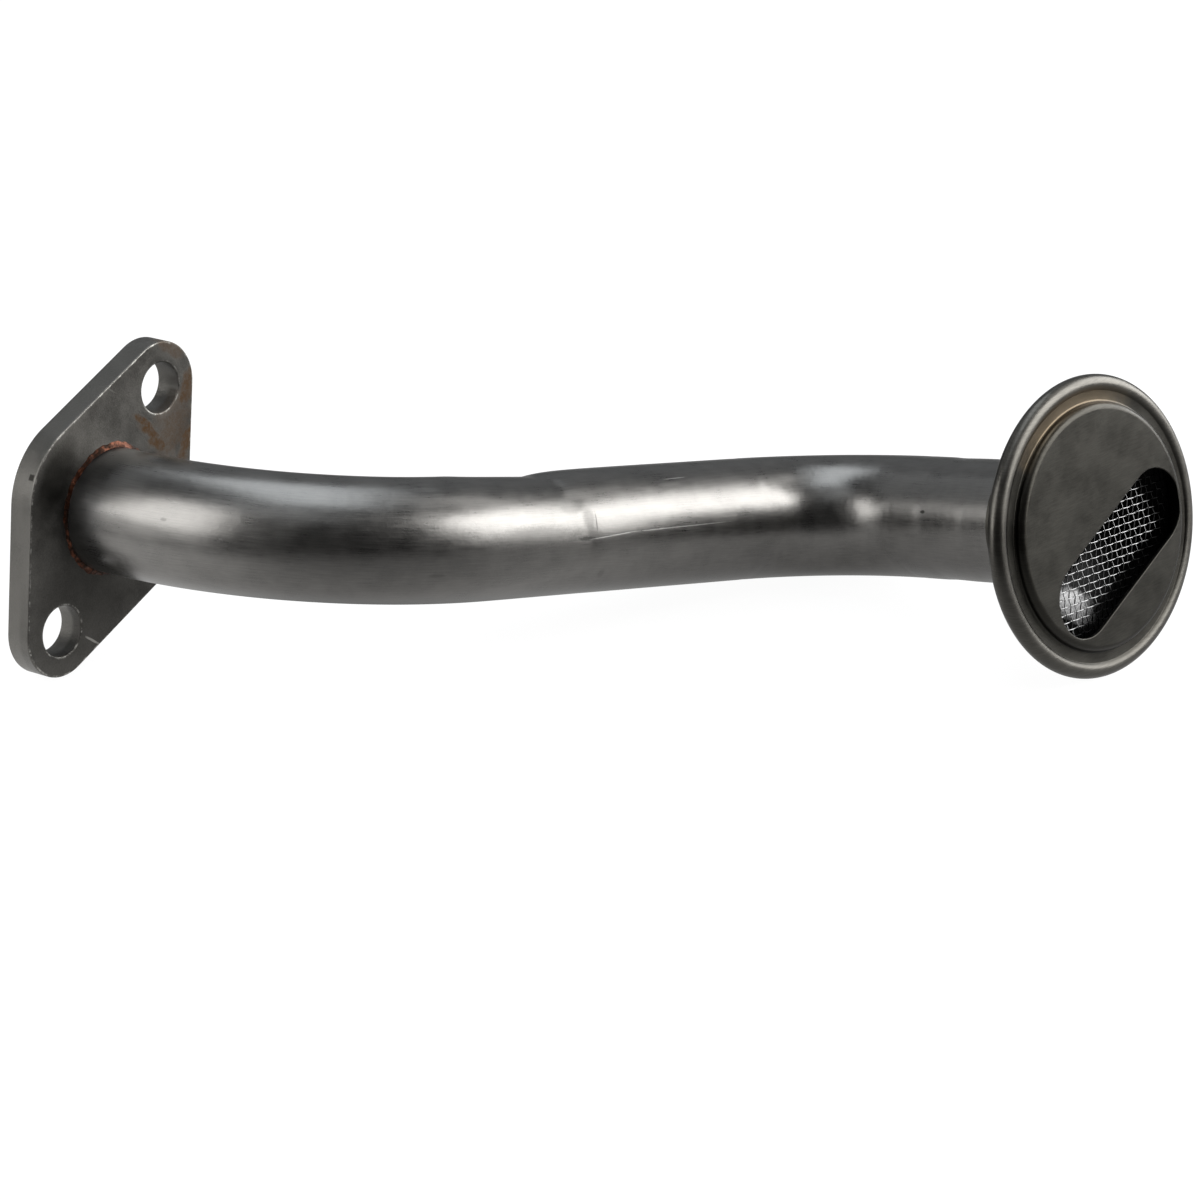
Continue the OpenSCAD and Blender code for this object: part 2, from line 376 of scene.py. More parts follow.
def plate_mesh(name, work, place):
    """Finishes a flat piece: flat and rim coordinates as uvs, then its place in the part."""
    bmesh.ops.recalc_face_normals(work, faces=work.faces)
    flat = work.loops.layers.uv.new("flat")
    rim = work.loops.layers.uv.new("rim")
    inset = work.verts.layers.float["inset"]
    for face in work.faces:
        for loop in face.loops:
            loop[flat].uv = loop.vert.co.xy
            loop[rim].uv = (loop.vert[inset], loop.vert.co.z)
    mesh = bpy.data.meshes.new(name)
    work.to_mesh(mesh)
    work.free()
    mesh.transform(place)
    smooth_faces(mesh, sharp_degrees=50)
    return mesh


def weigh_normals(piece):
    modifier = piece.modifiers.new("flat faces stay flat", "WEIGHTED_NORMAL")
    modifier.keep_sharp = True


# Shader helpers

class NodeSheet:
    """Short calls for laying out one node tree."""

    def __init__(self, tree):
        self.tree = tree

    def feed(self, socket, value):
        if isinstance(value, bpy.types.NodeSocket):
            self.tree.links.new(value, socket)
        else:
            socket.default_value = value

    def add(self, kind, choices=None, **inputs):
        node = self.tree.nodes.new(kind)
        for key, value in (choices or {}).items():
            setattr(node, key, value)
        for key, value in inputs.items():
            self.feed(node.inputs[key.replace("_", " ")], value)
        return node

    def operate(self, kind, operation, values):
        node = self.add(kind, {"operation": operation})
        for socket, value in zip(node.inputs, values):
            self.feed(socket, value)
        return node.outputs

    def math(self, operation, *values):
        return self.operate("ShaderNodeMath", operation, values)[0]

    def times(self, first, second):
        return self.math("MULTIPLY", first, second)

    def scaled(self, value, factor, base):
        """The value times the factor, added to the base."""
        return self.math("MULTIPLY_ADD", value, factor, base)

    def vector(self, operation, *values):
        outputs = self.operate("ShaderNodeVectorMath", operation, values)
        return outputs["Value" if operation == "LENGTH" else "Vector"]

    def distance(self, vector, place):
        return self.vector("LENGTH", self.vector("SUBTRACT", vector, place))

    def parts(self, vector):
        return self.add("ShaderNodeSeparateXYZ", Vector=vector).outputs

    def mix(self, factor, first, second):
        node = self.add("ShaderNodeMix", {"data_type": "RGBA"})
        for index, value in ((0, factor), (6, first), (7, second)):
            self.feed(node.inputs[index], value)
        return node.outputs[2]

    def noise(self, vector, scale, detail=2.0, roughness=0.5):
        node = self.add("ShaderNodeTexNoise", Vector=vector, Scale=scale, Detail=detail, Roughness=roughness)
        return node.outputs[0]

    def smooth(self, value, low, high, to_low=0.0, to_high=1.0):
        node = self.add("ShaderNodeMapRange", {"interpolation_type": "SMOOTHSTEP"}, Value=value,
                        From_Min=low, From_Max=high, To_Min=to_low, To_Max=to_high)
        return node.outputs[0]

    def group(self, tree, **inputs):
        return self.add("ShaderNodeGroup", {"node_tree": tree}, **inputs).outputs

    def uv(self, layer):
        return self.add("ShaderNodeUVMap", {"uv_map": layer}).outputs[0]

    def space(self):
        return self.add("ShaderNodeTexCoord").outputs["Object"]

    def bump(self, height, strength, distance):
        return self.add("ShaderNodeBump", Height=height, Strength=strength, Distance=distance).outputs[0]


def rgba(colour, share=1.0):
    return (*[share * value for value in colour], 1.0)


def new_group(name, inputs, outputs):
    """A shader group with its sockets: inputs are (name, socket type, default)."""
    tree = bpy.data.node_groups.new(name, "ShaderNodeTree")
    for label, kind, default in inputs:
        socket = tree.interface.new_socket(label, in_out="INPUT", socket_type=kind)
        if default is not None:
            socket.default_value = default
    for label in outputs:
        tree.interface.new_socket(label, in_out="OUTPUT", socket_type="NodeSocketFloat")
    entry = tree.nodes.new("NodeGroupInput")
    leave = tree.nodes.new("NodeGroupOutput")
    return NodeSheet(tree), entry.outputs, leave.inputs


def metal_grain_group():
    """Fine streaks and broad blotches of worked steel."""
    name = "Metal grain"
    if name in bpy.data.node_groups:
        return bpy.data.node_groups[name]
    sheet, given, result = new_group(
        name,
        [("Vector", "NodeSocketVector", None), ("Streak", "NodeSocketVector", (1, 1, 1)),
         ("Blotch", "NodeSocketFloat", 120.0)],
        ["Grain", "Mottle"])
    streaked = sheet.vector("MULTIPLY", given["Vector"], given["Streak"])
    fine = sheet.noise(streaked, 1.0, 4.0, 0.65)
    broad = sheet.noise(given["Vector"], given["Blotch"], 5.0, 0.62)
    sheet.feed(result["Grain"], sheet.smooth(fine, 0.3, 0.7))
    sheet.feed(result["Mottle"], sheet.smooth(broad, 0.3, 0.7))
    return sheet.tree


def ragged_spot_group():
    """A stain or mark with a ragged edge round a place on the surface."""
    name = "Ragged spot"
    if name in bpy.data.node_groups:
        return bpy.data.node_groups[name]
    sheet, given, result = new_group(
        name,
        [("Vector", "NodeSocketVector", None), ("Centre", "NodeSocketVector", (0, 0, 0)),
         ("Reach", "NodeSocketVector", (0.01, 0.01, 1.0)), ("Ragged", "NodeSocketFloat", 0.6),
         ("Scale", "NodeSocketFloat", 600.0), ("Lean", "NodeSocketFloat", 0.0)],
        ["Mask"])
    x, y, z = sheet.parts(sheet.vector("SUBTRACT", given["Vector"], given["Centre"]))
    leant = sheet.scaled(sheet.times(y, given["Lean"]), -1.0, x)
    away = sheet.add("ShaderNodeCombineXYZ", X=leant, Y=y, Z=z).outputs[0]
    distance = sheet.vector("LENGTH", sheet.vector("DIVIDE", away, given["Reach"]))
    torn = sheet.math("SUBTRACT", sheet.noise(given["Vector"], given["Scale"], 4.0, 0.6), 0.5)
    distance = sheet.math("ADD", distance, sheet.times(torn, given["Ragged"]))
    sheet.feed(result["Mask"], sheet.smooth(distance, 0.45, 1.0, 1.0, 0.0))
    return sheet.tree


def new_finish(name, metallic=1.0):
    """An empty material, its sheet and its shader's sockets."""
    material = bpy.data.materials.new(name)
    material.use_nodes = True
    material.node_tree.nodes.clear()
    sheet = NodeSheet(material.node_tree)
    shader = sheet.add("ShaderNodeBsdfPrincipled", Metallic=metallic)
    sheet.add("ShaderNodeOutputMaterial", Surface=shader.outputs[0])
    return material, sheet, shader.inputs


# Finishes

TUBE_MARKS_AND_SHADE = (
    # distance along (mm), angle round (degrees), reach along and round (mm), lean, how dark
    # Painted shade in the crease: the next two rows darken the gap between the two highlights
    (93.9, 272, 1.5, 2.6, 0.0, 0.2),
    (91.0, 260, 3.4, 1.6, 0.0, 0.2),
    (82.5, 286, 11.5, 2.6, 0.0, 0.3),
    # Painted shade along the crease's line: the next two rows
    (95.3, 276, 0.15, 2.4, 0.0, 0.45),
    (93.2, 291, 2.4, 0.5, 0.0, 0.7),
    # Painted shade standing in for a small pit
    (179.7, 278, 0.8, 0.4, 0.0, 0.9),
    (48.5, 274, 1.8, 0.6, 0.0, 0.2),
    (97.4, 328, 0.9, 1.2, 0.0, 0.2),
    (66.0, 318, 1.6, 0.5, 0.0, 0.2),
    (26.0, 283, 0.6, 0.4, 0.0, 0.25),
    (116.5, 283, 0.35, 0.25, 0.0, 0.5),
)
TUBE_SCRATCHES = (
    # distance along (mm), angle round (degrees), half length and half width (mm), lean, how bright
    (98.5, 289.5, 6.0, 0.13, -0.1, 0.6),
    (113.0, 286.0, 13.0, 0.14, -0.025, 0.6),
    (115.0, 236.0, 3.2, 0.16, -0.06, 0.6),
)
TUBE_HEAT = (
    # distance along (mm), angle round (degrees), reach along and round (mm), lean, how dull
    (11.0, 285, 6.0, 200.0, 0.0, 0.5),
)
# Painted shade on the face: a dark patch beside the tube and a darker lobe
FLANGE_PAINTED_SHADE = (
    # place on the face, reach (mm), strength
    (0.5, -15.5, 10.0, 4.5, 0.75),
    (20.0, 3.0, 20.0, 16.0, 0.5),
)
FLANGE_STAINS = (
    # place on the face, reach (mm), strength
    (-26.5, 6.6, 5.6, 2.8, 0.9),
    (-19.0, 11.2, 8.5, 2.0, 1.0),
    (-18.0, 7.0, 6.0, 4.6, 0.6),
    (-30.3, -1.0, 1.8, 5.0, 0.6),
    (-16.3, -1.0, 0.9, 3.4, 1.0),
    (-15.3, 1.8, 1.2, 3.8, 1.0),
    (-14.3, 4.6, 1.4, 3.4, 1.0),
    (-19.0, 6.5, 9.0, 7.0, 0.4),
)
FLANGE_SCRATCHES = (
    # place on the face, reach (mm), strength
    (-18.0, -11.0, 0.2, 1.6, 0.25),
    (21.9, 7.9, 0.3, 2.6, 0.8),
)
# Painted shade standing in for a small nick in the plate's side
FLANGE_NICK_SHADE = (
    # place on the face, reach (mm), strength
    (2.0, -19.8, 0.7, 0.9, 0.9),
)


def spots(sheet, vector, places, ragged, scale):
    """The strongest of several ragged spots: each is (centre, reach, lean, strength)."""
    strongest = None
    for centre, reach, lean, strength in places:
        spot = sheet.group(
            ragged_spot_group(), Vector=vector, Centre=(*centre, 0.0), Reach=(*reach, 1.0),
            Ragged=ragged, Scale=scale, Lean=lean)["Mask"]
        spot = sheet.times(spot, strength)
        strongest = spot if strongest is None else sheet.math("MAXIMUM", strongest, spot)
    return strongest


def tube_spots(sheet, wrap, rows, ragged, scale):
    outer_r = settings("pickup_tube").outer_d / 2
    places = [((math.radians(around) * outer_r, along * MM), (wide * MM, long * MM), lean, strength)
              for along, around, long, wide, lean, strength in rows]
    return spots(sheet, wrap, places, ragged, scale)


def face_spots(sheet, flat, rows, ragged, scale):
    places = [((x * MM, y * MM), (wide * MM, high * MM), 0.0, strength)
              for x, y, wide, high, strength in rows]
    return spots(sheet, flat, places, ragged, scale)


def drawn_steel():
    """Bare drawn tube: long streaks, blotches, a long scratch, the bender's marks, and painted shade in the
    crease and in a small pit.
    """
    look = settings("pickup_finishes")
    material, sheet, shader = new_finish("drawn steel")
    wrap = sheet.uv("wrap")
    grain = sheet.group(metal_grain_group(), Vector=wrap, Streak=(5200.0, 190.0, 1.0), Blotch=170.0)
    shade = sheet.scaled(grain["Mottle"], 0.5, sheet.times(grain["Grain"], 0.5))
    colour = sheet.mix(shade, rgba(look.tube_dark), rgba(look.tube_light))
    # The bender's marks, with painted shade in the crease and in a small pit
    marks = tube_spots(sheet, wrap, TUBE_MARKS_AND_SHADE, 0.8, 2400.0)
    scratches = tube_spots(sheet, wrap, TUBE_SCRATCHES, 0.5, 900.0)
    heat = tube_spots(sheet, wrap, TUBE_HEAT, 0.5, 260.0)
    colour = sheet.mix(heat, colour, rgba(look.tube_heat))
    colour = sheet.mix(marks, colour, rgba(look.tube_mark_and_shade))
    sheet.feed(shader["Base Color"], sheet.mix(scratches, colour, rgba(look.tube_scratch)))
    rough = sheet.scaled(grain["Mottle"], 0.05, 0.255)
    rough = sheet.scaled(grain["Grain"], 0.06, rough)
    sheet.feed(shader["Roughness"], sheet.scaled(marks, 0.25, rough))
    height = sheet.scaled(marks, -1.5, grain["Grain"])
    height = sheet.scaled(scratches, -2.0, height)
    height = sheet.scaled(grain["Mottle"], 7.0, height)
    height = sheet.scaled(sheet.noise(wrap, 2000.0, 3.0, 0.6), 2.2, height)
    sheet.feed(shader["Normal"], sheet.bump(height, 0.1, 0.03 * MM))
    return material


def blanked_steel():
    """Blanked plate: dull scale, lighter sheared sides partly in painted light, worn edges with a painted
    highlight, brown stains by one bolt hole, and painted shade on the face and in a nick.
    """
    look = settings("pickup_finishes")
    thick = settings("pickup_flange").thickness
    material, sheet, shader = new_finish("blanked steel")
    flat = sheet.uv("flat")
    inset, level, _ = sheet.parts(sheet.uv("rim"))
    seen = sheet.smooth(level, 0.5 * thick, 0.7 * thick)
    space = sheet.space()
    grain = sheet.group(metal_grain_group(), Vector=space, Streak=(3400.0, 3400.0, 3400.0), Blotch=190.0)
    shade = sheet.scaled(grain["Mottle"], 0.4, sheet.times(grain["Grain"], 0.35))
    # Lighter sheared sides: partly bare sheared metal, partly painted light
    side = sheet.smooth(inset, 0.02 * MM, 0.22 * MM, 1.0, 0.0)
    shade = sheet.scaled(side, 0.7, shade)
    colour = sheet.mix(shade, rgba(look.flange_dark), rgba(look.flange_light))
    stain = face_spots(sheet, flat, FLANGE_STAINS, 1.4, 420.0)
    # Painted shade: dark patches on the front face
    flange_painted_shade = face_spots(sheet, flat, FLANGE_PAINTED_SHADE, 0.4, 200.0)
    # Painted shade of the nick, on the plate's side only
    nick_shade = face_spots(sheet, flat, FLANGE_NICK_SHADE, 0.8, 900.0)
    nick_shade = sheet.times(nick_shade, sheet.smooth(level, 0.64 * thick, 0.7 * thick))
    nick_shade = sheet.times(nick_shade, sheet.smooth(level, 0.86 * thick, 0.92 * thick, 1.0, 0.0))
    flange_painted_shade = sheet.math("MAXIMUM", sheet.times(flange_painted_shade, seen), nick_shade)
    colour = sheet.mix(flange_painted_shade, colour, rgba(look.flange_painted_shade))
    speckle = sheet.smooth(sheet.noise(space, 1500.0, 3.0, 0.7), 0.35, 0.65)
    stain = sheet.times(sheet.times(stain, seen), sheet.scaled(speckle, 0.4, 0.6))
    colour = sheet.mix(stain, colour, rgba(look.rust))
    scratch = face_spots(sheet, flat, FLANGE_SCRATCHES, 0.8, 900.0)
    # Bright line along the face's edge: partly worn bare metal, partly a painted highlight on the rounded
    # edge
    edge_wear_and_highlight = sheet.smooth(inset, 0.28 * MM, 0.5 * MM, 1.0, 0.0)
    edge_wear_and_highlight = sheet.times(edge_wear_and_highlight, sheet.math("SUBTRACT", 1.0, side))
    broken = sheet.smooth(sheet.noise(space, 700.0, 4.0, 0.7), 0.46, 0.66)
    bright = sheet.math("MAXIMUM", sheet.times(edge_wear_and_highlight, broken), sheet.times(scratch, seen))
    sheet.feed(shader["Base Color"], sheet.mix(bright, colour, rgba(look.flange_bright)))
    rough = sheet.scaled(grain["Mottle"], 0.12, 0.34)
    rough = sheet.scaled(side, 0.06, rough)
    sheet.feed(shader["Roughness"], sheet.scaled(stain, 0.3, rough))
    sheet.feed(shader["Metallic"], sheet.scaled(stain, -0.85, 1.0))
    shader["Specular IOR Level"].default_value = 0.12
    height = sheet.scaled(side, grain["Grain"], grain["Grain"])
    sheet.feed(shader["Normal"], sheet.bump(height, 0.22, 0.05 * MM))
    return material


def pressed_steel(name):
    """Oiled pressed sheet with fine level streaks; its colour is left for the caller to finish."""
    look = settings("pickup_finishes")
    material, sheet, shader = new_finish(name)
    space = sheet.space()
    grain = sheet.group(metal_grain_group(), Vector=space, Streak=(420.0, 420.0, 5200.0), Blotch=160.0)
    shade = sheet.scaled(grain["Mottle"], 0.2, sheet.times(grain["Grain"], 0.5))
    sheet.feed(shader["Roughness"], sheet.scaled(grain["Mottle"], 0.12, 0.3))
    sheet.feed(shader["Normal"], sheet.bump(grain["Grain"], 0.1, 0.03 * MM))
    plain = sheet.mix(shade, rgba(look.cover_dark), rgba(look.cover_light))
    return material, sheet, shader, plain


def tinted_steel():
    """The cover's sheet: darker cap in painted shade, lighter bead with a painted highlight, and a straw
    tint where the brim was heated.
    """
    cap_painted_shade = (0.55, 0.55, 0.55)
    bead_painted_highlight = (1.4, 1.4, 1.45)
    material, sheet, shader, plain = pressed_steel("tinted pressed steel")
    flat = sheet.uv("flat")
    radius = sheet.vector("LENGTH", flat)
    cap_r = settings("pickup_strainer").cap_d / 2
    inside = sheet.smooth(radius, cap_r - 0.6 * MM, cap_r)
    outside = sheet.smooth(radius, cap_r + 2.2 * MM, cap_r + 3.2 * MM, 1.0, 0.0)
    side = sheet.group(
        ragged_spot_group(), Vector=flat, Centre=(9 * MM, -22 * MM, 0.0),
        Reach=(20 * MM, 17 * MM, 1.0), Ragged=0.7, Scale=240.0)["Mask"]
    tint = sheet.times(sheet.times(sheet.times(inside, outside), side), 0.7)
    # Painted shade on the cap and a painted highlight on the bead
    bead = sheet.smooth(radius, cap_r + 2.1 * MM, cap_r + 2.9 * MM)
    cap_shaded_colour = sheet.vector("MULTIPLY", plain, cap_painted_shade)
    bead_highlit_colour = sheet.vector("MULTIPLY", plain, bead_painted_highlight)
    colour = sheet.mix(bead, cap_shaded_colour, bead_highlit_colour)
    sheet.feed(shader["Base Color"], sheet.mix(tint, colour, rgba(settings("pickup_finishes").heat_tint)))
    return material


def housing_steel_painted_light():
    """The housing's sheet: pressed steel with painted shade that makes it black inside, and one painted
    glint where the light falls in.
    """
    look = settings("pickup_finishes")
    sizes = settings("pickup_strainer")
    material, sheet, shader, plain = pressed_steel("housing steel with painted light")
    space = sheet.space()
    ball = strainer_frame() @ Vector((0, 0, sizes.dish_centre))
    away = sheet.distance(space, ball)
    # Painted shade: near black inside the dish
    inside = sheet.smooth(away, sizes.dish_r - 0.6 * sizes.sheet, sizes.dish_r - 0.4 * sizes.sheet, 1.0, 0.0)
    colour = sheet.mix(inside, plain, rgba(look.dish_painted_shade))
    # Painted glint where the light falls in
    x, y = sizes.glint
    level = sizes.dish_centre - math.sqrt((sizes.dish_r - sizes.sheet) ** 2 - x * x - y * y)
    glint = sheet.group(
        ragged_spot_group(), Vector=space, Centre=strainer_frame() @ Vector((x, y, level)),
        Reach=(4.5 * MM, 4.5 * MM, 6.0 * MM), Ragged=0.9, Scale=500.0)["Mask"]
    colour = sheet.mix(sheet.times(glint, inside), colour, rgba(look.dish_glint))
    sheet.feed(shader["Base Color"], colour)
    return material


def copper_braze():
    """Copper, burnt dark in patches."""
    look = settings("pickup_finishes")
    material, sheet, shader = new_finish("copper braze")
    burnt = sheet.smooth(sheet.noise(sheet.space(), 700.0, 4.0, 0.65), 0.38, 0.62)
    sheet.feed(shader["Base Color"], sheet.mix(burnt, rgba(look.copper), rgba(look.copper_dark)))
    sheet.feed(shader["Roughness"], sheet.scaled(burnt, 0.3, 0.28))
    sheet.feed(shader["Normal"], sheet.bump(burnt, 0.4, 0.1 * MM))
    return material


def screen_wire():
    """Bright wire with painted shade: black where the cover's edge shades the slot's far end and side, and
    darker on the wires that run across.
    """
    look = settings("pickup_finishes")
    sizes = settings("pickup_strainer")
    material, sheet, shader = new_finish("screen wire")
    worn = sheet.noise(sheet.space(), 900.0)
    along, beside, _ = sheet.parts(sheet.uv("slot"))
    end = sizes.slot_place[0] - sizes.slot_l / 2
    side = sizes.slot_place[1] + sizes.slot_w / 2
    # Painted shade where the cover's edge shades the slot's far end and side
    shaded = sheet.math("MAXIMUM", sheet.smooth(along, end + 4.5 * MM, end + 8.0 * MM, 1.0, 0.0),
                        sheet.smooth(beside, side - 3.0 * MM, side - 1.4 * MM))
    colour = sheet.mix(worn, rgba(look.wire, 0.45), rgba(look.wire))
    # Painted shade: the wires that run across are darker
    across = sheet.parts(sheet.uv("weave"))[0]
    colour = sheet.mix(across, colour, rgba(look.wire, 0.3))
    sheet.feed(shader["Base Color"], sheet.mix(shaded, colour, rgba(look.wire_painted_shade)))
    sheet.feed(shader["Roughness"], sheet.scaled(worn, 0.15, 0.25))
    return material


def seal_rubber():
    """Black rubber with a slight bloom."""
    look = settings("pickup_finishes")
    material, sheet, shader = new_finish("seal rubber", 0.0)
    bloom = sheet.noise(sheet.space(), 500.0, 4.0, 0.6)
    sheet.feed(shader["Base Color"], sheet.mix(bloom, rgba(look.rubber), rgba(look.rubber, 2.2)))
    sheet.feed(shader["Roughness"], sheet.scaled(bloom, 0.2, 0.35))
    sheet.feed(shader["Normal"], sheet.bump(bloom, 0.15, 0.05 * MM))
    return material


def pale_floor():
    """A pale floor that stays white to the camera; what the metal mirrors of it is painted light: a glow
    that fades away from the part, a painted bright spot and a painted shadow under the tube.
    """
    look = settings("pickup_finishes")
    part_line = (0.0, -0.02, 0.0)
    line_stretch = (0.15, 1.0, 0.0)
    line_reach = 0.03
    painted_glow_place = (-0.14, -0.05, 0.0)
    shade_place = (-0.045, 0.012, 0.0)
    material, sheet, shader = new_finish("pale floor", 0.0)
    space = sheet.space()
    cloud = sheet.noise(space, 6.0)
    sheet.feed(shader["Base Color"], sheet.mix(cloud, rgba(look.floor), rgba(look.floor, 1.02)))
    shader["Roughness"].default_value = 0.9
    from_line = sheet.vector("MULTIPLY", sheet.vector("SUBTRACT", space, part_line), line_stretch)
    away = sheet.math("ADD", sheet.vector("LENGTH", from_line), line_reach)
    # Painted light for the metal: a glow that fades away from the part's line, a painted bright spot and a
    # painted shadow under the tube
    mirrored = sheet.scaled(sheet.math("DIVIDE", line_reach, away), 0.82, 0.09)
    painted_glow = sheet.smooth(sheet.distance(space, painted_glow_place), 0.02, 0.1, 0.9, 0.0)
    shaded = sheet.smooth(sheet.distance(space, shade_place), 0.015, 0.045, 0.3, 1.0)
    mirrored = sheet.times(sheet.math("ADD", mirrored, painted_glow), shaded)
    grey = sheet.add("ShaderNodeCombineColor", Red=mirrored, Green=mirrored, Blue=mirrored).outputs[0]
    seen = sheet.add("ShaderNodeLightPath").outputs["Is Camera Ray"]
    sheet.feed(shader["Emission Color"], sheet.mix(seen, grey, rgba(look.floor_white)))
    shader["Emission Strength"].default_value = 1.0
    return material


# Pieces

CREASE_ROUNDING = (-0.9 * MM, -0.45 * MM, 0.0, 0.45 * MM, 0.9 * MM)
PINCH_LENGTH = 2.6 * MM
PINCH_ANGLE = 0.2
SHORT_WAVE = 210
LONG_WAVE = 95
SKIN_WAVE = 0.012 * MM
SKIN_DEPTH = 0.03 * MM
MOUTH_EDGE = 0.2 * MM
JAW_MARKS = (
    # distance along, width before and after the mark (mm), depth
    (171.6, 0.5, 0.5, 0.5),
    (179.4, 1.6, 3.6, 1.6),
    (189.4, 1.2, 3.2, 0.9),
    (133.6, 0.8, 0.8, 0.4),
)


def crease_profile(past):
    """Depth across the crease, 1 at its deepest: a long slope before it and a short one after."""
    kink = settings("pickup_kink")
    total = 0.0
    for shift in CREASE_ROUNDING:
        here = past + shift
        before = np.clip(1 + here / kink.run_in, 0, 1)
        after = np.exp(-np.maximum(here, 0) / kink.run_out)
        total = total + np.where(here < 0, before, after) / len(CREASE_ROUNDING)
    return total


def tube_relief(along, around):
    """How far the skin lies below the tube's round form: crease, pinch, jaw marks and a slight wave."""
    kink = settings("pickup_kink")
    away = (around - kink.around + math.pi) % FULL_TURN - math.pi
    fade = np.exp(-(away / kink.spread) ** 2 / 2)
    relief = kink.depth * crease_profile(along - kink.along - kink.lean * away) * fade
    pinch = ((along - kink.pinch[0]) / PINCH_LENGTH) ** 2 + ((around - kink.pinch[1]) / PINCH_ANGLE) ** 2
    relief = relief + kink.pinch_depth * np.exp(-pinch)
    for place, before, after, size in JAW_MARKS:
        past = along / MM - place
        relief = relief + kink.jaw_depth * size * math.exp(-(past / (before if past < 0 else after)) ** 2)
    wave = np.sin(along * SHORT_WAVE + 2 * around) * np.sin(along * LONG_WAVE - around) * 0.5 + 0.5
    return relief + SKIN_WAVE * wave + SKIN_DEPTH


class PICKUP_OT_tube(bpy.types.Operator):
    """Draws the bent tube with its crease and the marks of the bender"""
    bl_idname = "pickup.draw_tube"
    bl_label = "Drawn tube"
    bore_share = 4

    def ring(self, around, station, radius, relief):
        """One ring of the skin; on the outside, the relief is taken off its radius."""
        along, place, turned = station
        angle = around - turned
        reach = radius - (tube_relief(along, around) if relief else 0.0)
        local = np.stack([reach * np.cos(angle), reach * np.sin(angle),
                          np.zeros_like(angle), np.ones_like(angle)])
        return (np.array(place) @ local)[:3].T

    def execute(self, context):
        tube = settings("pickup_tube")
        outer_r = tube.outer_d / 2
        mouth_r = outer_r - MOUTH_EDGE
        bore_r = outer_r - tube.wall
        fine = tube_stations(tube.ring_step)
        coarse = tube_stations(self.bore_share * tube.ring_step)
        columns = np.arange(tube.sides + 1) * FULL_TURN / tube.sides
        edges = {0: MOUTH_EDGE, len(fine) - 1: -MOUTH_EDGE}
        rows = [(fine[0], mouth_r, False)]
        for i, (along, place, turned) in enumerate(fine):
            edge = edges.get(i, 0.0)
            rows.append(((along + edge, place @ lifted(edge), turned), outer_r, True))
        rows.append((fine[-1], mouth_r, False))
        rows += [(station, bore_r, False) for station in reversed(coarse)]
        points = np.stack([self.ring(columns[:-1], *row) for row in rows])
        mesh = grid_mesh("drawn_tube", points, wrap_uvs(columns, outer_r, [row[0][0] for row in rows]))
        outward(mesh, sharp_degrees=40)
        link_piece("drawn_tube", mesh, "pickup_tube", drawn_steel())
        return {"FINISHED"}


class PICKUP_OT_flange(bpy.types.Operator):
    """Blanks the flange plate with rounded edges"""
    bl_idname = "pickup.blank_flange"
    bl_label = "Flange"
    arc_steps = 24
    hole_steps = 72
    border = 1.2 * MM

    def outline(self, inset):
        """The plate's outline, set in from its edge: arcs round the lobes and the middle corners."""
        plate = settings("pickup_flange")
        lobe_x = plate.bolt_spacing / 2
        corner_y = plate.width / 2 - plate.corner_r
        reach = math.hypot(lobe_x, corner_y)
        side = math.acos((plate.corner_r - plate.lobe_r) / reach) - math.atan2(corner_y, lobe_x)
        lobe = plate.lobe_r - inset
        corner = plate.corner_r - inset
        arcs = (((lobe_x, 0), lobe, -side, side), ((0, corner_y), corner, side, math.pi - side),
                ((-lobe_x, 0), lobe, math.pi - side, math.pi + side),
                ((0, -corner_y), corner, math.pi + side, FULL_TURN - side))
        return [point for stretch in arcs for point in arc(*stretch, self.arc_steps)]

    def execute(self, context):
        plate = settings("pickup_flange")
        lobe_x = plate.bolt_spacing / 2
        bolt_r = plate.bolt_hole_d / 2
        tube_r = settings("pickup_tube").outer_d / 2 + plate.tube_gap
        work = bmesh.new()
        levels = rounded_levels(0, plate.thickness, plate.edge)
        levels = [(self.border, 0.0), *levels, (self.border, plate.thickness)]
        sides = [[corner_ring(work, self.outline(inset), level, inset) for inset, level in levels]]
        for centre, radius in (((lobe_x, 0), bolt_r), ((-lobe_x, 0), bolt_r), ((0, 0), tube_r)):
            sides.append([corner_ring(work, circle(centre, radius + inset, self.hole_steps), level, inset)
                          for inset, level in levels])
        for rings in sides:
            bridge_rings(work, rings)
        fill_between(work, [rings[0] for rings in sides])
        fill_between(work, [rings[-1] for rings in sides])
        mesh = plate_mesh("blanked_flange", work, lying())
        piece = link_piece("blanked_flange", mesh, "mounting_flange", blanked_steel())
        weigh_normals(piece)
        return {"FINISHED"}


